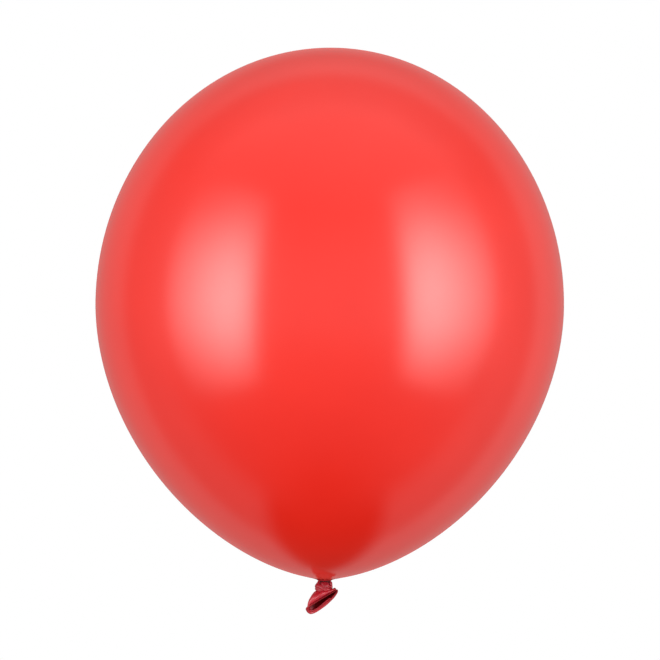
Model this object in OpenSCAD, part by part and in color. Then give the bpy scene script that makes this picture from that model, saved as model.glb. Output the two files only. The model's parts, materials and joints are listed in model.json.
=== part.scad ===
// Latex party balloon, inflated and tied off with an overhand knot.
// Millimetres. +Z runs up the balloon's axis, and the tail's mouth faces down towards -Y.
// The origin is the centre of the throat, the waist between the envelope and the knot.

/* [Envelope] */
// Width at the widest level
body_w = 300; // [240:5:330]
// Height of the crown above the widest level
crown_h = 164.6; // [140:0.2:190]
// Height of the widest level above the throat
belly_h = 176.3; // [150:0.1:210]
// Height above the throat of the lowest level that the belly's curve aims for
belly_rise = 0.5; // [0:0.1:1]
// Roundness across the lower half, where 2 is a plain ellipse
belly_n = 1.67; // [1.5:0.01:2]
// Roundness along the lower half, where 2 is a plain ellipse
drop_n = 1.91; // [1.7:0.01:2.2]
// Wall of the film shell
film_t = 0.3; // [0.25:0.05:0.6]
// Radius at which the film starts to gather towards the throat
gather_r = 9; // [7:0.5:12]

/* [Throat] */
// Width of the throat under the gather
throat_w = 8.6; // [8.2:0.1:9]
// Depth of the throat's end below the origin
throat_drop = 0.6; // [0.4:0.05:0.7]
// Width of the rounded end that the knot rocks on
throat_ball_w = 8.2; // [7.6:0.1:8.3]
// Depth of that end's centre below the origin
pivot_drop = 2.2; // [2.1:0.05:2.3]

/* [Knot] */
// Width over the knot's turns
knot_w = 11.4; // [11:0.1:12]
// Depth of the knot's centre below the origin
knot_drop = 4.9; // [4.8:0.05:5.2]
// Offset of the knot's centre towards -X
knot_shift = 0.5; // [0.3:0.05:0.6]
// Width of the rolled strand that makes the turns
strand_w = 2.4; // [2.2:0.1:2.6]
// Slope of the outer turn, down towards +X
wrap_slope = 12; // [5:1:14]
// Slope of the tucked turn, up towards +X
tuck_slope = 8; // [4:1:12]

/* [Tail] */
// Wall of the unstretched neck film
tail_t = 0.45; // [0.35:0.05:0.55]
// Drop of the mouth's centre below the knot's centre
mouth_drop = 8.5; // [8:0.1:10]
// Distance of the mouth's centre in front of the knot's centre
mouth_lean = 3; // [2:0.1:3.5]
// Offset of the mouth's centre from the knot's centre, towards -X
mouth_shift = 0.8; // [0:0.1:1.2]
// Long way across the mouth, between bead centres
mouth_long = 22.8; // [20:0.2:25]
// Short way across the mouth, between bead centres
mouth_short = 8.7; // [8:0.1:10]
// Narrowing of the mouth towards +X
mouth_taper = 0.5; // [0.3:0.05:0.5]
// Slope of the mouth's long way, up towards +X
mouth_slope = 36; // [28:1:38]
// Turn of the mouth's short way from downwards to backwards
mouth_turn = 55; // [50:1:70]
// Rise of the mouth's two ends above its middle
mouth_bow = 0.5; // [0:0.1:0.8]
// Thickness of the rolled bead round the mouth
lip_w = 1.7; // [1.2:0.1:1.8]

/* [Hidden] */

body_r = body_w / 2;
throat_r = throat_w / 2;
ball_r = throat_ball_w / 2;
knot_r = knot_w / 2;
strand_r = strand_w / 2;
lip_r = lip_w / 2;

// Running clearances: flat faces of the twisting throat, and curved faces that rock
twist_gap = 0.05;
rock_gap = 0.25;
// Seam left between pieces of one body that meet on a curved face
seam = 0.02;

// The gathered film rises a little towards the axis inside the envelope
plug_rise = 0.8;
// The rounded throat end is cut flat below its centre, and its socket is deeper
ball_cut = 1.4;
socket_depth = 2.6;
// The knot's shoulder stops just above the centre that it rocks on
shoulder_z = 0.1 - pivot_drop;
shoulder_r = 5.25;
core_r = 4.75;
knot_c = [-knot_shift, 0, -knot_drop];
// Offsets of the two turns along their own axes, up and down from the knot's centre
wrap_lift = 0.5;
tuck_lift = -1.3;

// The tail's bunched root is a bowl round the underside of the knot
bowl_in = knot_r + rock_gap;
bowl_out = bowl_in + tail_t;
bowl_half = 70;
// The bowl's rim leans down towards -Y, and then up towards +X
rim_down = 8;
rim_up = 12;
bowl_axis = [cos(rim_down) * sin(rim_up), -sin(rim_down), -cos(rim_down) * cos(rim_up)];
bowl_side = [cos(rim_up), 0, sin(rim_up)];
bowl_back = [sin(rim_down) * sin(rim_up), cos(rim_down), -sin(rim_down) * cos(rim_up)];

// Mouth directions: its long way, and its short way from the front lip to the back lip
mouth_c = knot_c - [mouth_shift, mouth_lean, mouth_drop];
long_way = [cos(mouth_slope), 0, sin(mouth_slope)];
across = [sin(mouth_slope), 0, -cos(mouth_slope)];
short_way = cos(mouth_turn) * across + sin(mouth_turn) * [0, 1, 0];
// Fullness of the mouth's ends, which keeps them round instead of pointed
end_full = 0.4;
// Longest reach of the tail's flare straight off its root
flare = 2.6;
pleats = 7;
pleat_h = 0.16;

half_steps = 30;
fillet_steps = 10;
bowl_steps = 18;
around = 48;
down_steps = 10;
bead_sides = 10;

function unit(v) = v / norm(v);
function backwards(list) = [for (i = [len(list) - 1 : -1 : 0]) list[i]];

// Lower half of the envelope at angle a below its widest level, with the wall taken off
function belly_point(a, wall) = [
    (body_r - wall) * pow(cos(a), 2 / belly_n),
    belly_h - (belly_h - belly_rise - wall) * pow(sin(a), 2 / drop_n)
];
function crown_point(a, wall) = [
    (body_r - wall) * cos(a),
    belly_h + (crown_h - wall) * sin(a)
];
function gather_angle(wall) = acos(pow(gather_r / (body_r - wall), belly_n / 2));
function film_profile(wall) = concat(
    [for (i = [0 : half_steps - 1]) belly_point(gather_angle(wall) * (1 - i / half_steps), wall)],
    [for (i = [0 : half_steps]) crown_point(90 * i / half_steps, wall)]
);
function gather_edge(wall) = belly_point(gather_angle(wall), wall);

// Curve between two ends that starts and leaves towards the corner point
function corner_curve(a, corner, b, t) = pow(1 - t, 2) * a + 2 * t * (1 - t) * corner + t * t * b;

// Ring where the bowl ends and the flared film starts, by the angle t round the tail
function root_dir(t) = cos(bowl_half) * bowl_axis
    + sin(bowl_half) * (cos(t) * bowl_side + sin(t) * bowl_back);
function root_point(t) = knot_c + (bowl_out + seam) * root_dir(t);
// The flare is shorter where the mouth is close to the knot
function flare_len(t) = min(flare, norm(mouth_point(t) - root_point(t)) / 2.5);
function flare_point(t) = root_point(t) + flare_len(t) * root_dir(t);

// Centre line of the mouth's bead
function mouth_point(t) = mouth_c
    + mouth_long / 2 * cos(t) * (1 + end_full * pow(sin(t), 2)) * long_way
    + mouth_short / 2 * sin(t) * (1 - mouth_taper * cos(t)) * short_way
    - mouth_bow * cos(2 * t) * across;
function mouth_run(t) = unit(mouth_point(t + 1) - mouth_point(t - 1));
function skirt_aim(t) = unit(mouth_point(t) - flare_point(t));
// Frame of the bead's section: away from the film that runs into it, and square to that
function bead_out(t) = unit(skirt_aim(t) - (skirt_aim(t) * mouth_run(t)) * mouth_run(t));
function bead_up(t) = cross(bead_out(t), mouth_run(t));
function bead_point(t, b) = mouth_point(t) + lip_r * (cos(b) * bead_out(t) + sin(b) * bead_up(t));
// The film ends where it meets the bead's surface
function hem_point(t) = mouth_point(t) - (lip_r + seam) * bead_out(t);

function pleat(s, t) = pleat_h * sin(180 * s) * sin(pleats * t);
function skirt_point(s, t) = corner_curve(root_point(t), flare_point(t), hem_point(t), s)
    + pleat(s, t) * root_dir(t);
function skirt_normal(s, t) = unit(cross(
    skirt_point(s + 0.01, t) - skirt_point(s - 0.01, t),
    skirt_point(s, t + 1) - skirt_point(s, t - 1)
));
function skirt_ring(s, wall) = [
    for (i = [0 : around - 1])
        let (t = 360 * i / around)
        skirt_point(s, t) - wall * skirt_normal(s, t)
];

// Faces of a closed strip of rings, each ring joined to the next and the last to the first
function strip_faces(rings, sides) = [
    for (r = [0 : rings - 1], i = [0 : sides - 1])
        let (
            r2 = (r + 1) % rings,
            i2 = (i + 1) % sides,
            a = r * sides + i,
            b = r * sides + i2,
            c = r2 * sides + i2,
            d = r2 * sides + i
        )
        each [[a, b, c], [a, c, d]]
];

module throat_socket() {
    intersection() {
        translate([0, 0, -pivot_drop]) sphere(r = ball_r + rock_gap, $fn = 96);
        translate([0, 0, -pivot_drop - socket_depth]) cylinder(r = knot_w, h = knot_w, $fn = 96);
    }
}

// Turn of the strand that stays inside a ball of the knot's width
module knot_turn(slope, lift) {
    reach = sqrt(pow(knot_r - strand_r, 2) - lift * lift);
    translate(knot_c) rotate([0, slope, 0]) rotate_extrude($fn = 96)
        translate([reach, lift]) circle(r = strand_r, $fn = 48);
}

module outer_turn() {
    knot_turn(wrap_slope, wrap_lift);
}

module envelope() {
    color("#e02a20") rotate_extrude($fn = 180)
        polygon(concat(film_profile(0), backwards(film_profile(film_t))));
}

module neck_gather() {
    top = gather_edge(film_t);
    edge = gather_edge(0);
    end = [throat_r, -throat_drop];
    corner = [throat_r, edge[1] / 3];
    fillet = [for (i = [0 : fillet_steps]) corner_curve(edge, corner, end, i / fillet_steps)];
    color("#b81d1a") rotate_extrude($fn = 96)
        polygon(concat([top], fillet, [[0, -throat_drop], [0, top[1] + plug_rise]]));
}

module throat_bunch() {
    low = -pivot_drop - ball_cut;
    high = -throat_drop - twist_gap;
    color("#9c1418") intersection() {
        translate([0, 0, -pivot_drop]) sphere(r = ball_r, $fn = 96);
        translate([0, 0, low]) cylinder(r = throat_w, h = high - low, $fn = 96);
    }
}

// The standing part inside the knot, with the shoulder that faces the throat
module core_form() {
    translate(knot_c) sphere(r = core_r, $fn = 96);
    translate(knot_c) cylinder(r = shoulder_r, h = shoulder_z - knot_c[2], $fn = 96);
}

module knot_core() {
    color("#a31621") difference() {
        core_form();
        throat_socket();
    }
}

module knot_wrap() {
    color("#b81c2b") difference() {
        outer_turn();
        core_form();
    }
}

// The turn that goes under the outer one at the +X side
module knot_tuck() {
    color("#ad1926") difference() {
        knot_turn(-tuck_slope, tuck_lift);
        outer_turn();
        core_form();
    }
}

module tail_gather() {
    inside = [for (i = [0 : bowl_steps])
        bowl_in * [sin(bowl_half * i / bowl_steps), -cos(bowl_half * i / bowl_steps)]];
    outside = [for (i = [0 : bowl_steps])
        bowl_out * [sin(bowl_half * i / bowl_steps), -cos(bowl_half * i / bowl_steps)]];
    color("#9c1418") translate(knot_c) rotate([-rim_down, -rim_up, 0]) rotate_extrude($fn = 96)
        polygon(concat(outside, backwards(inside)));
}

module tail_skirt() {
    outer = [for (j = [0 : down_steps]) each skirt_ring(j / down_steps, 0)];
    inner = [for (j = [down_steps : -1 : 0]) each skirt_ring(j / down_steps, tail_t)];
    color("#c8323c") polyhedron(concat(outer, inner), strip_faces(2 * (down_steps + 1), around));
}

module rolled_lip() {
    rings = [for (i = [0 : around - 1], k = [0 : bead_sides - 1])
        bead_point(360 * i / around, 360 * k / bead_sides)];
    color("#d24a50") polyhedron(rings, strip_faces(around, bead_sides));
}

envelope();
neck_gather();
throat_bunch();
knot_core();
knot_wrap();
knot_tuck();
tail_gather();
tail_skirt();
rolled_lip();
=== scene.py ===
"""Looks of the inflated, tied latex balloon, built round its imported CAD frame. Lengths are in millimetres."""
import json
import math

import bpy
import numpy as np
from mathutils import Matrix, Vector, noise


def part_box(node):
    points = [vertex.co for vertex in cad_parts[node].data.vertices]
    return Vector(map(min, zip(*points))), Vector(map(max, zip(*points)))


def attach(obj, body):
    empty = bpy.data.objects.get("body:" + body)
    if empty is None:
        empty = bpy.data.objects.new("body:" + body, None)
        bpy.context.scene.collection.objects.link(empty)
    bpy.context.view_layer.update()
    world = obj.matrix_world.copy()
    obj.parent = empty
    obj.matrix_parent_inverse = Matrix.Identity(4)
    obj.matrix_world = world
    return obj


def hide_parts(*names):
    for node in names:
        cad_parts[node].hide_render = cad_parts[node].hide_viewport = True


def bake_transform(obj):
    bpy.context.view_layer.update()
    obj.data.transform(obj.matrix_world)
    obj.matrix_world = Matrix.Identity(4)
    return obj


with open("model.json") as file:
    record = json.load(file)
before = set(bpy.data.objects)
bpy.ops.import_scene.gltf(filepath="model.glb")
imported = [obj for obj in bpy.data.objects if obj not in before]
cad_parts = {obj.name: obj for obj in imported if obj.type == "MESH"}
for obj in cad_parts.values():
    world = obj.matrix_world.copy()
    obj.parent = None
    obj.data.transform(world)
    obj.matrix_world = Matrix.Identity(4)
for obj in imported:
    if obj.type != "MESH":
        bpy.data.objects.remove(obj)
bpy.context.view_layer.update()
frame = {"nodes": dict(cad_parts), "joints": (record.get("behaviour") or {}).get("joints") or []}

MM = 0.001

# ---- Places, from the frame ------------------------------------------------------------------
JOINTS = {j["name"]: j for j in frame["joints"]}


def box_mm(node):
    """Lowest and highest corner of a CAD node."""
    low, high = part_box(node)
    return np.array(low) / MM, np.array(high) / MM


def widest_level(node):
    """Height at which a CAD node is widest."""
    points = np.array([v.co for v in frame["nodes"][node].data.vertices]) / MM
    reach = np.hypot(points[:, 0], points[:, 1])
    return float(points[reach > reach.max() - 0.01, 2].mean())


ENVELOPE_LOW, ENVELOPE_HIGH = box_mm("envelope")
GATHER_LOW, GATHER_HIGH = box_mm("neck_gather")
BODY_R = (ENVELOPE_HIGH[0] - ENVELOPE_LOW[0]) / 2
BELLY_Z = widest_level("envelope")
CROWN_H = ENVELOPE_HIGH[2] - BELLY_Z
GATHER_R = (GATHER_HIGH[0] - GATHER_LOW[0]) / 2
KNOT_AT = np.array(JOINTS["tail_flap"]["pos_m"]) / MM

# ---- Shape of the film -----------------------------------------------------------------------
BELLY_N = 1.67      # roundness across the lower half, where 2 is a plain ellipse
DROP_N = 1.91       # roundness along the lower half
POLE_Z = 0.45       # lowest level that the lower half alone would reach
CROWN_POINTS = 46   # points along each stretch of the film's outline
BELLY_POINTS = 70
WAIST_POINTS = 19
FILM_T = 0.25
WAIST_R = 4.1
WAIST_Z = -0.35
WAIST_SLOPE = 0.12  # fall of the film for each millimetre inwards, close above the waist
THROAT_TOP = 0.25
THROAT_END = -3.4
THROAT_GAP = 0.06   # how far the throat lies inside the film's waist
THROAT_PINCH = 0.35
THROAT_CLOSE = 0.6  # how far the throat draws in over its last part, inside the knot
PLEATS = 15
PLEAT_REACH = 15.0  # radius at which the pleats have died out
PLEAT_FADE = 1.6
PLEAT_H = 0.34

# ---- Shape of the tail -----------------------------------------------------------------------
MOUTH_LONG = 22.9
MOUTH_SHORT = 8.2
MOUTH_TAPER = 0.55
MOUTH_FULL = 0.4
MOUTH_BOW = 0.5
MOUTH_SLOPE = math.radians(36)
MOUTH_TURN = math.radians(55)
MOUTH_FROM_KNOT = np.array([-0.4, -2.6, -8.5])
SKIRT_T = 0.4
SHOULDER_AT = 0.35  # share of the way from the knot to the lip at which the film turns down
FOLD_H = 0.42
LIP_R = 0.82
LIP_TURN = 0.7      # the lip is thickest, and its painted shade lightest, a quarter turn past this angle

# ---- Shape of the strands in the knot ----------------------------------------------------------
RIDGE_TWIST = 1.5   # turns that the ridges make along a strand
WRINKLE_H = 0.1
WRINKLE_LONG = 1.6

# ---- Latex -------------------------------------------------------------------------------------
LATEX_IOR = 1.52
NECK_SHADE_START = 16.0             # distances from the waist between which the neck shade comes in
NECK_SHADE_FULL = 4.0
HOLLOW_GLOSS = 0.06
RIM_TINT = (1.0, 0.1, 0.07)
RIM_ROUGHNESS = 0.4
SCATTER_REACH = 2.0
SCATTER_COLOURS = (1.0, 0.12, 0.08)

# ---- View, panels and floor --------------------------------------------------------------------
VIEW_AIM = (0.5, 160.2)      # point of the balloon's plane that the view is centred on: X and Z
VIEW_FROM = 3000.0
VIEW_WIDE = 422.9            # width of the view at the balloon
VIEW_ROLL = math.radians(-1.08)
SENSOR_WIDE = 36.0
CLIP_END = 100.0             # in metres, beyond the floor's corners
PANEL_AWAY = 1300.0
PANEL_ACROSS = ((-1, 0), (-0.85, 0.16), (-0.6, 0.85), (-0.4, 1), (-0.2, 0.95), (0.4, 0.45), (1, 0))
PANEL_UP = ((-1, 0), (-0.75, 0.28), (-0.3, 0.88), (-0.05, 1), (0.15, 0.9), (0.6, 0.3), (1, 0))
MIRRORED_POWER = 2.4
FLOOR_HALF = 55000.0
FLOOR_Z = -4500.0


# ---- Small helpers ---------------------------------------------------------------------------
def unit(v):
    return v / np.linalg.norm(v, axis=-1, keepdims=True)


def smooth(t):
    """Soft step from 0 to 1."""
    t = np.clip(t, 0, 1)
    return t * t * (3 - 2 * t)


def noise_at(points, scale, seed):
    """Smooth noise from -1 to 1 at each point, with features about scale long."""
    shift = Vector((seed * 7.3, seed * 3.1, seed * 5.7))
    return np.array([noise.noise(Vector(p) / scale + shift) for p in points])


def add_mesh(name, points, faces, material):
    """Smooth-shaded object from points in millimetres."""
    mesh = bpy.data.meshes.new(name)
    mesh.from_pydata((np.asarray(points) * MM).tolist(), [], faces)
    mesh.update()
    mesh.shade_smooth()
    mesh.materials.append(material)
    obj = bpy.data.objects.new(name, mesh)
    bpy.context.scene.collection.objects.link(obj)
    return obj


def set_open_part(obj, values):
    """How open to the light each point is, from 0 to 1, for the painted shade that its material lays in
    hollows.
    """
    layer = obj.data.attributes.new("open_part", "FLOAT", "POINT")
    layer.data.foreach_set("value", np.clip(values, 0, 1).astype(np.float32).ravel())


def ring_faces(rings, sides, loop=False, start=0):
    """Quads that join rings of points, each to the next, and the last to the first on a loop."""
    faces = []
    for r in range(rings if loop else rings - 1):
        a = start + r * sides
        b = start + ((r + 1) % rings) * sides
        faces += [(a + i, a + (i + 1) % sides, b + (i + 1) % sides, b + i) for i in range(sides)]
    return faces


def flip(faces):
    return [tuple(reversed(f)) for f in faces]


def cap(first, sides, tip):
    """Triangles from a ring to the point at its middle."""
    return [(first + (i + 1) % sides, first + i, tip) for i in range(sides)]


def corner_curve(a, corner, b, t):
    """Points at the shares t of a curve from a to b that bends towards a corner."""
    t = np.asarray(t)[..., None]
    return (1 - t) ** 2 * a + 2 * t * (1 - t) * corner + t * t * b


def spline(points, steps, loop):
    """Smooth curve through points, with steps between each two."""
    points = np.asarray(points, float)
    n = len(points)
    out = []
    for i in range(n if loop else n - 1):
        p = [points[(i + k) % n] if loop else points[min(max(i + k, 0), n - 1)] for k in (-1, 0, 1, 2)]
        for t in np.arange(steps) / steps:
            out.append(0.5 * (2 * p[1] + (p[2] - p[0]) * t
                              + (2 * p[0] - 5 * p[1] + 4 * p[2] - p[3]) * t ** 2
                              + (3 * p[1] - p[0] - 3 * p[2] + p[3]) * t ** 3))
    if not loop:
        out.append(points[-1])
    return np.array(out)


# ---- Materials -------------------------------------------------------------------------------
def latex(name, thin, thick, roughness, mottle, grain, bump, scatter, gloss_level=0.5, neck=None,
          painted_hollow_shade=None, rim=0.0):
    """Glossy latex. Its colour drifts between a thin and a thick shade, in patches about mottle long, and
    its skin has a grain about grain long and bump high. A neck shade takes over close to the throat, where
    the film is hardly stretched. A painted shade takes over, and most of the gloss goes, where the mesh says
    that the film is bunched out of the light. The rim is the red that a thin film shows edge on."""
    material = bpy.data.materials.new(name)
    material.use_nodes = True
    nodes, links = material.node_tree.nodes, material.node_tree.links
    shader = nodes["Principled BSDF"]
    place = nodes.new("ShaderNodeTexCoord")

    drift = nodes.new("ShaderNodeTexNoise")
    drift.inputs["Scale"].default_value = 1 / (mottle * MM)
    drift.inputs["Detail"].default_value = 3
    links.new(place.outputs["Object"], drift.inputs["Vector"])
    shade = nodes.new("ShaderNodeValToRGB")
    shade.color_ramp.elements[0].position = 0.3
    shade.color_ramp.elements[0].color = (*thin, 1)
    shade.color_ramp.elements[1].position = 0.75
    shade.color_ramp.elements[1].color = (*thick, 1)
    links.new(drift.outputs["Fac"], shade.inputs["Fac"])
    colour = shade.outputs["Color"]
    if neck:
        reach = nodes.new("ShaderNodeVectorMath")
        reach.operation = "LENGTH"
        links.new(place.outputs["Object"], reach.inputs[0])
        near = nodes.new("ShaderNodeMapRange")
        near.interpolation_type = "SMOOTHSTEP"
        near.inputs["From Min"].default_value = NECK_SHADE_START * MM
        near.inputs["From Max"].default_value = NECK_SHADE_FULL * MM
        links.new(reach.outputs["Value"], near.inputs["Value"])
        mix = nodes.new("ShaderNodeMix")
        mix.data_type = "RGBA"
        mix.inputs["B"].default_value = (*neck, 1)
        links.new(near.outputs["Result"], mix.inputs["Factor"])
        links.new(colour, mix.inputs["A"])
        colour = mix.outputs["Result"]
    # Painted shade: where open_part is low, the colour turns to the hollow colour and most of the gloss goes,
    # for film bunched out of the light.
    if painted_hollow_shade:
        open_part = nodes.new("ShaderNodeAttribute")
        open_part.attribute_name = "open_part"
        mix = nodes.new("ShaderNodeMix")
        mix.data_type = "RGBA"
        mix.inputs["A"].default_value = (*painted_hollow_shade, 1)
        links.new(open_part.outputs["Fac"], mix.inputs["Factor"])
        links.new(colour, mix.inputs["B"])
        colour = mix.outputs["Result"]
        shine = nodes.new("ShaderNodeMapRange")
        shine.inputs["To Min"].default_value = HOLLOW_GLOSS
        shine.inputs["To Max"].default_value = gloss_level
        links.new(open_part.outputs["Fac"], shine.inputs["Value"])
        links.new(shine.outputs["Result"], shader.inputs["Specular IOR Level"])
    else:
        shader.inputs["Specular IOR Level"].default_value = gloss_level
    links.new(colour, shader.inputs["Base Color"])

    skin = nodes.new("ShaderNodeTexNoise")
    skin.inputs["Scale"].default_value = 1 / (grain * MM)
    skin.inputs["Detail"].default_value = 4
    links.new(place.outputs["Object"], skin.inputs["Vector"])
    gloss = nodes.new("ShaderNodeMapRange")
    gloss.inputs["To Min"].default_value = roughness * 0.85
    gloss.inputs["To Max"].default_value = roughness * 1.2
    links.new(skin.outputs["Fac"], gloss.inputs["Value"])
    links.new(gloss.outputs["Result"], shader.inputs["Roughness"])
    relief = nodes.new("ShaderNodeBump")
    relief.inputs["Strength"].default_value = 0.5
    relief.inputs["Distance"].default_value = bump * MM
    links.new(skin.outputs["Fac"], relief.inputs["Height"])
    links.new(relief.outputs["Normal"], shader.inputs["Normal"])

    shader.inputs["IOR"].default_value = LATEX_IOR
    shader.inputs["Sheen Weight"].default_value = rim
    shader.inputs["Sheen Roughness"].default_value = RIM_ROUGHNESS
    shader.inputs["Sheen Tint"].default_value = (*RIM_TINT, 1)
    shader.inputs["Subsurface Weight"].default_value = scatter
    shader.inputs["Subsurface Radius"].default_value = SCATTER_COLOURS
    shader.inputs["Subsurface Scale"].default_value = SCATTER_REACH * MM
    return material


FILM = latex("stretched_film", thin=(0.90, 0.0195, 0.0085), thick=(0.85, 0.0165, 0.0070), roughness=0.18,
             mottle=60, grain=0.9, bump=0.003, scatter=0.0, neck=(0.34, 0.004, 0.008), rim=0.5)
# The throat's latex is thick and unstretched, and its colour is darkened further, and its gloss cut, as painted
# shade for its creases and its place deep under the knot.
NECK = latex("gathered_film", thin=(0.10, 0.0005, 0.003), thick=(0.06, 0.0002, 0.002), roughness=0.5,
             mottle=3, grain=0.5, bump=0.01, scatter=0.02, gloss_level=0.1)
KNOT = latex("knot_latex", thin=(0.46, 0.004, 0.020), thick=(0.34, 0.002, 0.013), roughness=0.48,
             mottle=2.5, grain=0.4, bump=0.008, scatter=0.1, gloss_level=0.4)
# The tail's and the lip's hollow colours are painted shade, laid where the film is bunched out of the light.
TAIL = latex("tail_latex", thin=(0.54, 0.006, 0.024), thick=(0.44, 0.004, 0.016), roughness=0.46,
             mottle=4, grain=0.4, bump=0.008, scatter=0.1, gloss_level=0.45, painted_hollow_shade=(0.07, 0.0005, 0.001))
LIP = latex("lip_latex", thin=(0.56, 0.008, 0.024), thick=(0.46, 0.005, 0.018), roughness=0.44,
            mottle=4, grain=0.4, bump=0.008, scatter=0.1, gloss_level=0.45, painted_hollow_shade=(0.16, 0.002, 0.003))


# ---- Envelope film, with the pleats that run into the throat -----------------------------------
def film_profile(inset):
    """Points (radius, height) from the crown to the waist."""
    crown = np.radians(np.linspace(90, 0, CROWN_POINTS))
    top = np.stack([(BODY_R - inset) * np.cos(crown), BELLY_Z + (CROWN_H - inset) * np.sin(crown)], 1)
    last = math.acos((GATHER_R / (BODY_R - inset)) ** (BELLY_N / 2))
    belly = last * (1 - (1 - np.linspace(0, 1, BELLY_POINTS)[1:]) ** 1.25)
    low = np.stack([(BODY_R - inset) * np.cos(belly) ** (2 / BELLY_N),
                    BELLY_Z - (BELLY_Z - POLE_Z - inset) * np.sin(belly) ** (2 / DROP_N)], 1)
    edge = low[-1]
    corner = np.array([WAIST_R - inset, edge[1] - (edge[0] - WAIST_R + inset) * WAIST_SLOPE])
    waist = np.array([WAIST_R - inset, WAIST_Z])
    throat = corner_curve(edge, corner, waist, np.linspace(0, 1, WAIST_POINTS)[1:])
    return np.concatenate([top, low, throat])


def pleat_wave(angle):
    """Rounded ridges between sharper valleys, unevenly spaced, from -1 to 1."""
    bent = angle + 0.10 * np.sin(3 * angle + 0.8) + 0.07 * np.sin(5 * angle + 2.1)
    ridge = 1 - 2 * np.abs(np.sin(PLEATS * bent / 2)) ** 1.3
    return -ridge * (0.75 + 0.25 * np.sin(2 * angle + 1.3))


def build_envelope():
    around = 240
    angle = np.linspace(0, 2 * math.pi, around, endpoint=False)

    def skin(inset):
        """Crown point and rings of the film's outside, or of its inside when there is an inset."""
        profile = film_profile(inset)
        along = np.gradient(profile, axis=0)
        out = unit(np.stack([-along[:, 1], along[:, 0]], 1))
        rings = []
        for (r, z), n in zip(profile[1:], out[1:]):
            share = (PLEAT_REACH - r) / (PLEAT_REACH - WAIST_R)
            reach = smooth(share) ** PLEAT_FADE if z < BELLY_Z / 2 else 0
            lift = PLEAT_H * reach * pleat_wave(angle)
            radius = r + n[0] * lift
            rings.append(np.stack([radius * np.cos(angle), radius * np.sin(angle), z + n[1] * lift], 1))
        return profile[0], rings

    points, faces = [], []
    for inset, turn in ((0, list), (FILM_T, flip)):
        top, rings = skin(inset)
        start = sum(len(p) for p in points)
        points += rings + [np.array([[0, 0, top[1]], [0, 0, rings[-1][:, 2].mean() + 4 * inset]])]
        crown_tip = start + len(rings) * around
        faces += turn(flip(ring_faces(len(rings), around, start=start)))
        faces += turn(flip(cap(start, around, crown_tip)))
        faces += turn(cap(start + (len(rings) - 1) * around, around, crown_tip + 1))
    film = add_mesh("envelope_film", np.concatenate(points), faces, FILM)
    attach(film, "root")
    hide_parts("envelope", "neck_gather")


# ---- Throat: the pleated waist that twists -----------------------------------------------------
def build_throat():
    around = 180
    angle = np.linspace(0, 2 * math.pi, around, endpoint=False)
    heights = np.linspace(THROAT_TOP, THROAT_END, 40)
    rings = []
    for z in heights:
        t = (THROAT_TOP - z) / (THROAT_TOP - THROAT_END)
        r = WAIST_R - THROAT_GAP - THROAT_PINCH * math.sin(math.pi * t)
        r -= THROAT_CLOSE * smooth((t - 0.8) / 0.2)
        lift = PLEAT_H * (1 - 0.3 * t) * pleat_wave(angle + 0.25 * t)
        radius = r + lift
        rings.append(np.stack([radius * np.cos(angle), radius * np.sin(angle), np.full(around, z)], 1))
    tips = np.array([[0, 0, heights[0] + 0.3], [0, 0, heights[-1] - 0.2]])
    last = (len(rings) - 1) * around
    faces = flip(ring_faces(len(rings), around)) + flip(cap(0, around, last + around))
    faces += cap(last, around, last + around + 1)
    throat = add_mesh("throat_pleats", np.concatenate(rings + [tips]), faces, NECK)
    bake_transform(throat)
    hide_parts("throat_bunch")


# ---- Knot: the strand's turns round a heart ------------------------------------------------------
def strand(name, path, width, thick, loop=False, ridges=5, ridge_h=0.07, seed=1, body="knot"):
    """Flattened roll of film along a path round the knot, with wrinkles that run along it. One on the throat is
    baked in place and not attached to a body."""
    sides, steps = 40, 14
    line = spline(path, steps, loop) + KNOT_AT
    n = len(line)
    run = unit(np.roll(line, -1, 0) - np.roll(line, 1, 0)) if loop else unit(np.gradient(line, axis=0))
    away = line - KNOT_AT
    away = unit(away - (away * run).sum(1, keepdims=True) * run)
    side = np.cross(run, away)
    share = np.arange(n) / (n if loop else n - 1)
    swell = 1 + 0.08 * np.sin(2 * math.pi * (2 * share + 0.3 * seed))
    if not loop:
        swell = swell * np.sqrt(np.clip(1 - np.abs(2 * share - 1) ** 6, 0.02, 1))
    turn = np.linspace(0, 2 * math.pi, sides, endpoint=False)
    rings = []
    for k in range(n):
        ripple = 1 + ridge_h * np.sin(ridges * turn + RIDGE_TWIST * 2 * math.pi * share[k] + seed)
        counter_turn = (ridges + 4) * turn - 2 * RIDGE_TWIST * math.pi * share[k]
        ripple += 0.5 * ridge_h * np.sin(counter_turn + 2 * seed)
        across = width / 2 * swell[k] * ripple * np.cos(turn)
        up = thick / 2 * swell[k] * ripple * np.sin(turn)
        rings.append(line[k] + across[:, None] * side[k] + up[:, None] * away[k])
    points = np.concatenate(rings)
    faces = ring_faces(n, sides, loop)
    if not loop:
        points = np.concatenate([points, line[:1], line[-1:]])
        faces += cap(0, sides, n * sides) + flip(cap((n - 1) * sides, sides, n * sides + 1))
    wrinkles = np.stack([noise_at(points, WRINKLE_LONG, seed + k) for k in range(3)], 1)
    points = points + WRINKLE_H * wrinkles
    obj = add_mesh(name, points, flip(faces), TAIL if body == "tail" else KNOT)
    if body == "tail":
        # The fold inside the mouth takes a little of the tail's painted shade.
        set_open_part(obj, np.full(len(points), 0.9))
    if body == "throat":
        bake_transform(obj)
    else:
        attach(obj, body)
    return obj


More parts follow.
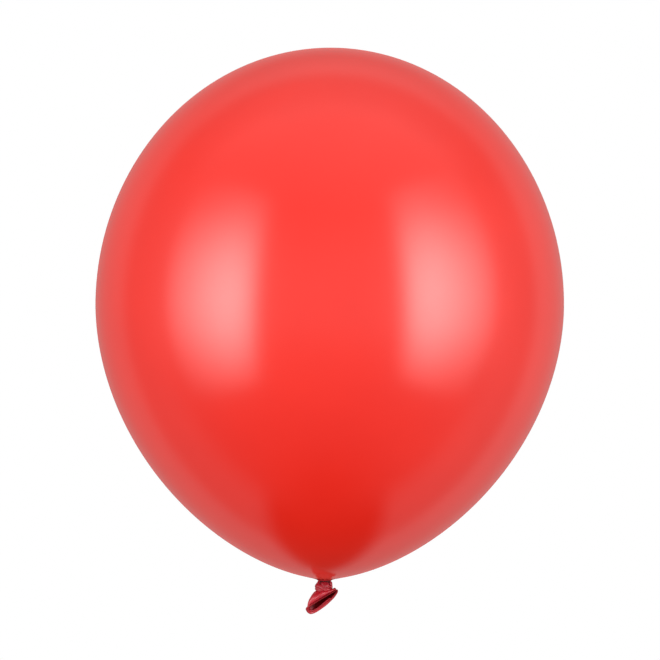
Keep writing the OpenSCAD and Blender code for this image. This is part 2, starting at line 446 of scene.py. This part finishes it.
def lump(name, centre, radii, folds, material):
    """Closed soft lump with folds round it."""
    rows, around = 40, 64
    lat = np.linspace(-math.pi / 2, math.pi / 2, rows + 2)[1:-1]
    turn = np.linspace(0, 2 * math.pi, around, endpoint=False)
    rings = []
    for a in lat:
        ripple = 1 + folds * np.sin(9 * turn + 3 * a) * math.cos(a)
        rings.append(centre + np.stack([radii[0] * math.cos(a) * np.cos(turn) * ripple,
                                        radii[1] * math.cos(a) * np.sin(turn) * ripple,
                                        np.full(around, radii[2] * math.sin(a))], 1))
    tips = np.array([centre - [0, 0, radii[2]], centre + [0, 0, radii[2]]])
    last = (rows - 1) * around
    faces = ring_faces(rows, around) + cap(0, around, last + around)
    faces += flip(cap(last, around, last + around + 1))
    return add_mesh(name, np.concatenate(rings + [tips]), faces, material)


def build_knot():
    heart = lump("knot_heart", KNOT_AT + [0.3, 0, 0.3], (4.6, 4.3, 3.4), 0.03, KNOT)
    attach(heart, "knot")
    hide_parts("knot_core")
    over = strand("knot_turn_over",
                  [(-4.2, -0.6, 1.1), (-3.2, -3.2, 1.1), (-1.2, -4.3, 0.3), (0.9, -4.5, -0.9),
                   (3.0, -3.6, -1.6), (4.5, -0.6, -1.2), (2.8, 3.4, -0.2), (-0.8, 4.4, 0.8),
                   (-3.4, 3.0, 1.3)],
                  width=3.1, thick=2.4, loop=True, ridges=4, seed=1)
    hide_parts("knot_wrap")
    under = strand("knot_turn_under",
                   [(-4.5, -0.4, -0.8), (-3.0, -3.4, -1.1), (-0.4, -4.2, -1.9), (2.4, -3.6, -1.7),
                    (4.3, 0.0, -0.2), (3.0, 3.2, 0.2), (-0.4, 4.3, -0.8), (-3.4, 3.0, -1.2)],
                   width=2.7, thick=2.1, loop=True, ridges=4, seed=3)
    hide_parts("knot_tuck")
    strand("knot_fold_middle",
           [(0.8, 0.4, 3.6), (1.0, -2.2, 3.3), (1.4, -3.8, 2.4), (1.7, -4.3, 1.4), (1.9, -4.1, 0.2)],
           width=4.6, thick=1.6, ridge_h=0.04, seed=5, body="throat")
    strand("knot_edge_front",
           [(-2.0, -2.6, 3.4), (-0.9, -4.0, 2.3), (0.5, -4.85, 0.9), (1.5, -5.0, 0.0), (2.6, -4.6, 0.2),
            (3.9, -3.5, 0.9), (4.9, -1.6, 2.0)],
           width=1.2, thick=1.0, ridge_h=0.04, seed=6)
    strand("knot_fold_back",
           [(-2.2, 1.4, 4.0), (-2.8, 3.2, 2.4), (-1.4, 4.5, 0.4), (0.2, 4.2, -1.4)],
           width=3.2, thick=2.0, seed=7, body="throat")
    strand("knot_fold_right",
           [(3.7, -0.2, 4.2), (4.5, -0.9, 2.6), (4.7, -1.2, 0.8), (4.1, -1.4, -1.0)],
           width=3.0, thick=2.0, seed=9, body="throat")
    strand("knot_fold_left",
           [(-2.6, -0.6, 4.4), (-3.4, -1.5, 2.8), (-3.9, -1.2, 1.2), (-4.3, 0.2, -0.6)],
           width=2.8, thick=1.9, seed=11, body="throat")


# ---- Tail: the flared film and its rolled lip ----------------------------------------------------
MOUTH_AT = KNOT_AT + MOUTH_FROM_KNOT
MOUTH_LONG_WAY = np.array([math.cos(MOUTH_SLOPE), 0, math.sin(MOUTH_SLOPE)])
ACROSS = np.array([math.sin(MOUTH_SLOPE), 0, -math.cos(MOUTH_SLOPE)])
MOUTH_SHORT_WAY = math.cos(MOUTH_TURN) * ACROSS + math.sin(MOUTH_TURN) * np.array([0, 1, 0])
ROOT_LEAN = np.array([0.2, 0.0, -0.98])
ROOT_SIDE = unit(np.array([0.98, 0.0, 0.2]))


def mouth_line(t):
    """Centre line of the rolled lip, by the angle round the mouth."""
    t = np.asarray(t)
    long_side = MOUTH_LONG / 2 * np.cos(t) * (1 + MOUTH_FULL * np.sin(t) ** 2)
    short_side = MOUTH_SHORT / 2 * np.sin(t) * (1 - MOUTH_TAPER * np.cos(t))
    bow = MOUTH_BOW * np.cos(2 * t)
    return (MOUTH_AT + long_side[..., None] * MOUTH_LONG_WAY + short_side[..., None] * MOUTH_SHORT_WAY
            - bow[..., None] * ACROSS)


def mouth_run(t):
    """Direction of the rolled lip's centre line."""
    return unit(mouth_line(t + 0.01) - mouth_line(t - 0.01))


def root_ring(t, radius, drop):
    """Ring under the knot that leans with the mouth."""
    back = unit(np.cross(ROOT_SIDE, ROOT_LEAN))
    back = back if back[1] > 0 else -back
    t = np.asarray(t)[..., None]
    return KNOT_AT + drop * ROOT_LEAN + radius * (np.cos(t) * ROOT_SIDE + np.sin(t) * back)


def lip_out(t):
    """Direction in which the film meets the lip, square to the lip's centre line."""
    aim = mouth_line(t) - root_ring(t, radius=5.6, drop=2.6)
    run = mouth_run(t)
    return unit(aim - (aim * run).sum(-1, keepdims=True) * run)


def skirt_line(s, t):
    """Point on the film's outside, from s = 0 inside the knot to s = 1 at the lip."""
    inner = root_ring(t, radius=1.6, drop=1.4)
    shoulder = root_ring(t, radius=6.0 - 0.4 * np.cos(t)[..., None], drop=1.9)
    hem = mouth_line(t) - 0.7 * LIP_R * lip_out(t)
    bend = root_ring(t, radius=4.4, drop=1.2)
    first = corner_curve(inner, bend, shoulder, np.clip(s / SHOULDER_AT, 0, 1))
    bulge = 2.1 - 1.5 * np.cos(t) - 0.7 * np.sin(t)
    raised = 1.8 * np.clip(np.cos(t), 0, 1) ** 6
    guide = shoulder + 0.35 * (hem - shoulder) + bulge[..., None] * unit((shoulder - KNOT_AT) * [1, 1, 0.2])
    guide = guide + raised[..., None] * np.array([0.4, 0, 1])
    second = corner_curve(shoulder, guide, hem, np.clip((s - SHOULDER_AT) / (1 - SHOULDER_AT), 0, 1))
    return np.where((s < SHOULDER_AT)[..., None], first, second)


def skirt_fold(s, t):
    """Soft folds that gather at the knot and fade towards the lip."""
    fade = smooth(s / 0.3) * (1 - 0.8 * smooth((s - 0.55) / 0.45))
    wave = 0.5 * np.sin(7 * t + 0.6) + 0.35 * np.sin(11 * t + 2.0) + 0.3 * np.sin(4 * t + 4.0)
    return FOLD_H * fade * wave


def build_tail():
    around, down = 160, 44
    t, s = np.meshgrid(np.linspace(0, 2 * math.pi, around, endpoint=False), np.linspace(0, 1, down + 1))
    step = 0.01
    base = skirt_line(s, t)
    downwards = skirt_line(np.clip(s + step, 0, 1), t) - skirt_line(np.clip(s - step, 0, 1), t)
    sideways = skirt_line(s, t + step) - skirt_line(s, t - step)
    normal = unit(np.cross(downwards, sideways))
    outer = base + skirt_fold(s, t)[..., None] * normal
    wall = SKIRT_T * (0.3 + 0.7 * smooth((s - SHOULDER_AT) / 0.3))
    inner = outer - wall[..., None] * normal
    rings = list(outer) + list(inner[::-1])
    points = np.concatenate(rings)
    skirt = add_mesh("tail_film", points, ring_faces(len(rings), around, loop=True), TAIL)
    # Painted shade: the inside is dark, except along its hem, most of all at the low end, and close to the knot
    lit = 0.15 * smooth((s - 0.7) / 0.3) + 0.75 * smooth((s - 0.8) / 0.2) * smooth((-np.cos(t) - 0.5) / 0.4)
    lit = np.maximum(lit, 0.9 * smooth((0.5 - s) / 0.1))
    set_open_part(skirt, np.concatenate([np.ones_like(s), lit[::-1]]))
    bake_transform(skirt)
    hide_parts("tail_gather", "tail_skirt")

    sides = 28
    t = np.linspace(0, 2 * math.pi, 220, endpoint=False)
    out, run = lip_out(t), mouth_run(t)
    up = np.cross(out, run)
    turn = np.linspace(0, 2 * math.pi, sides, endpoint=False)
    thick = LIP_R * (0.80 + 0.32 * np.sin(t - LIP_TURN) + 0.05 * np.sin(5 * t + 1.0) + 0.03 * np.sin(13 * t))
    groove = 1 - 0.22 * np.exp(-((turn - 2.5) / 0.28) ** 2)
    rings = []
    for k in range(len(t)):
        radius = thick[k] * groove
        spoke = np.cos(turn)[:, None] * out[k] + np.sin(turn)[:, None] * up[k]
        rings.append(mouth_line(t[k]) + radius[:, None] * spoke)
    lip = add_mesh("rolled_lip_bead", np.concatenate(rings), ring_faces(len(rings), sides, loop=True), LIP)
    # Painted shade on the lip, darkest at the front, where the bead faces down and is thinnest.
    set_open_part(lip, np.repeat(0.55 + 0.45 * np.sin(t - LIP_TURN), sides))
    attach(lip, "tail")
    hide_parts("rolled_lip")

    t = np.radians(np.linspace(66, 166, 7))
    inwards = unit(MOUTH_AT - mouth_line(t))
    fold = mouth_line(t) + 1.25 * inwards - 0.5 * ACROSS - KNOT_AT
    strand("tail_fold_inside", fold, width=1.7, thick=1.1, ridge_h=0.03, seed=13, body="tail")


# ---- Camera, light and floor ---------------------------------------------------------------------
def build_camera():
    camera = bpy.data.cameras.new("camera")
    camera.sensor_width = SENSOR_WIDE
    camera.lens = camera.sensor_width * VIEW_FROM / VIEW_WIDE
    camera.clip_end = CLIP_END
    eye = bpy.data.objects.new("camera", camera)
    eye.location = (VIEW_AIM[0] * MM, -VIEW_FROM * MM, VIEW_AIM[1] * MM)
    eye.rotation_euler = (math.pi / 2, VIEW_ROLL, 0)
    bpy.context.scene.collection.objects.link(eye)
    bpy.context.scene.camera = eye


def value_curve(nodes, links, output, stops):
    """Value that follows stops (place, value), for places from -1 to 1 and values up to 1."""
    place = nodes.new("ShaderNodeMapRange")
    place.inputs["From Min"].default_value = -1
    links.new(output, place.inputs["Value"])
    curve = nodes.new("ShaderNodeValToRGB")
    while len(curve.color_ramp.elements) < len(stops):
        curve.color_ramp.elements.new(1)
    for element, (at, value) in zip(curve.color_ramp.elements, stops):
        element.position = (at + 1) / 2
        element.color = (value, value, value, 1)
    links.new(place.outputs["Result"], curve.inputs["Fac"])
    return curve.outputs["Color"]


def maths(nodes, links, operation, a, b):
    """Output of an operation on two values, each a number or an output."""
    node = nodes.new("ShaderNodeMath")
    node.operation = operation
    for socket, value in zip(node.inputs, (a, b)):
        if isinstance(value, (int, float)):
            socket.default_value = value
        else:
            links.new(value, socket)
    return node.outputs[0]


def softbox(name, azimuth, elevation, half_width, half_height, power):
    """Glowing panel turned to the balloon, brightest towards its inner edge and fading from there. It is
    placed and sized in degrees, as seen from the balloon, and shows only in what the latex mirrors."""
    a, e = math.radians(azimuth), math.radians(elevation)
    to = Vector((math.sin(a) * math.cos(e), -math.cos(a) * math.cos(e), math.sin(e)))
    outward = Vector((math.cos(a), math.sin(a), 0)) * (1 if azimuth > 0 else -1)
    up = to.cross(outward) if azimuth < 0 else outward.cross(to)
    up = up if up.z > 0 else -up
    w, h = (PANEL_AWAY * MM * math.tan(math.radians(half)) for half in (half_width, half_height))
    mesh = bpy.data.meshes.new(name)
    mesh.from_pydata([(-1, -1, 0), (1, -1, 0), (1, 1, 0), (-1, 1, 0)], [], [(0, 1, 2, 3)])
    panel = bpy.data.objects.new(name, mesh)
    middle = to * PANEL_AWAY * MM + Vector((0, 0, BELLY_Z * MM))
    panel.matrix_world = Matrix.Translation(middle) @ Matrix((outward * w, up * h, to)).transposed().to_4x4()
    material = bpy.data.materials.new(name)
    material.use_nodes = True
    nodes, links = material.node_tree.nodes, material.node_tree.links
    nodes.clear()
    place = nodes.new("ShaderNodeTexCoord")
    split = nodes.new("ShaderNodeSeparateXYZ")
    links.new(place.outputs["Object"], split.inputs["Vector"])
    across = value_curve(nodes, links, split.outputs["X"], PANEL_ACROSS)
    along = value_curve(nodes, links, split.outputs["Y"], PANEL_UP)
    fade = maths(nodes, links, "MULTIPLY", across, along)
    glow = nodes.new("ShaderNodeEmission")
    links.new(maths(nodes, links, "MULTIPLY", fade, power), glow.inputs["Strength"])
    clear = nodes.new("ShaderNodeBsdfTransparent")
    both = nodes.new("ShaderNodeAddShader")
    links.new(glow.outputs[0], both.inputs[0])
    links.new(clear.outputs[0], both.inputs[1])
    end = nodes.new("ShaderNodeOutputMaterial")
    links.new(both.outputs[0], end.inputs["Surface"])
    mesh.materials.append(material)
    panel.visible_camera = False
    panel.visible_shadow = False
    panel.visible_diffuse = False
    bpy.context.scene.collection.objects.link(panel)


def build_world():
    """White to the camera. Light that the latex scatters comes mostly from the front, and what it mirrors
    is a bright room in front, a dimmer one behind and a dark floor."""
    world = bpy.data.worlds.new("studio")
    bpy.context.scene.world = world
    world.use_nodes = True
    world.cycles.sampling_method = "NONE"
    nodes, links = world.node_tree.nodes, world.node_tree.links
    nodes.clear()
    place = nodes.new("ShaderNodeTexCoord")
    split = nodes.new("ShaderNodeSeparateXYZ")
    links.new(place.outputs["Generated"], split.inputs["Vector"])
    back, height = split.outputs["Y"], split.outputs["Z"]

    def curve(output, *stops):
        return value_curve(nodes, links, output, stops)

    def times(a, b):
        return maths(nodes, links, "MULTIPLY", a, b)

    def plus(a, b):
        return maths(nodes, links, "ADD", a, b)

    sideways = maths(nodes, links, "ABSOLUTE", split.outputs["X"], 0)
    room = curve(back, (-1, 0.66), (0.02, 0.66), (0.2, 0.47), (0.42, 0.34), (0.57, 0.49), (0.66, 0.42),
                 (0.8, 0.33), (1, 0.28))
    room = times(room, curve(height, (0.3, 0.7), (0.6, 0.6), (0.95, 1)))
    room = times(room, plus(1.0, times(split.outputs["X"], 0.12)))
    floor_front = curve(height, (-1, 0.1), (-0.93, 0.3), (-0.85, 0.43), (-0.69, 0.53), (-0.42, 0.66),
                        (-0.15, 1))
    floor_back = curve(plus(height, times(sideways, 0.9)), (-0.66, 0.03), (-0.53, 1))
    behind = curve(back, (-0.05, 0), (0.2, 1))
    ahead = plus(1.0, times(behind, -1.0))
    floor = plus(times(floor_front, ahead), times(floor_back, behind))
    mirrored = times(times(room, floor), MIRRORED_POWER)
    by_height = curve(height, (-1, 0.07), (-0.1, 1), (0.15, 1), (1, 0.4))
    scattered = times(plus(1.6, times(back, -0.62)), by_height)

    path = nodes.new("ShaderNodeLightPath")
    glossy = path.outputs["Is Glossy Ray"]
    light = plus(times(mirrored, glossy), times(scattered, plus(1.0, times(glossy, -1.0))))
    glow = nodes.new("ShaderNodeBackground")
    links.new(light, glow.inputs["Strength"])
    seen = nodes.new("ShaderNodeBackground")
    seen.inputs["Color"].default_value = (1, 1, 1, 1)
    seen.inputs["Strength"].default_value = 1.0
    mix = nodes.new("ShaderNodeMixShader")
    links.new(path.outputs["Is Camera Ray"], mix.inputs["Fac"])
    links.new(glow.outputs[0], mix.inputs[1])
    links.new(seen.outputs[0], mix.inputs[2])
    end = nodes.new("ShaderNodeOutputWorld")
    links.new(mix.outputs[0], end.inputs["Surface"])


def build_floor():
    material = bpy.data.materials.new("floor")
    material.use_nodes = True
    shader = material.node_tree.nodes["Principled BSDF"]
    shader.inputs["Base Color"].default_value = (0.9, 0.9, 0.9, 1)
    shader.inputs["Roughness"].default_value = 0.8
    shader.inputs["Emission Color"].default_value = (1, 1, 1, 1)
    shader.inputs["Emission Strength"].default_value = 0.2
    half, z = FLOOR_HALF * MM, FLOOR_Z * MM
    corners = [(-half, -half, z), (half, -half, z), (half, half, z), (-half, half, z)]
    mesh = bpy.data.meshes.new("floor")
    mesh.from_pydata(corners, [], [(0, 1, 2, 3)])
    mesh.materials.append(material)
    floor = bpy.data.objects.new("floor", mesh)
    floor.visible_glossy = False
    floor.visible_diffuse = False
    bpy.context.scene.collection.objects.link(floor)


build_envelope()
build_throat()
build_knot()
build_tail()
build_camera()
softbox("softbox_left", azimuth=-57, elevation=4, half_width=28, half_height=40, power=7.6)
softbox("softbox_right", azimuth=58, elevation=7, half_width=29, half_height=41, power=7.6)
build_world()
build_floor()
bpy.context.scene.view_settings.view_transform = "Standard"
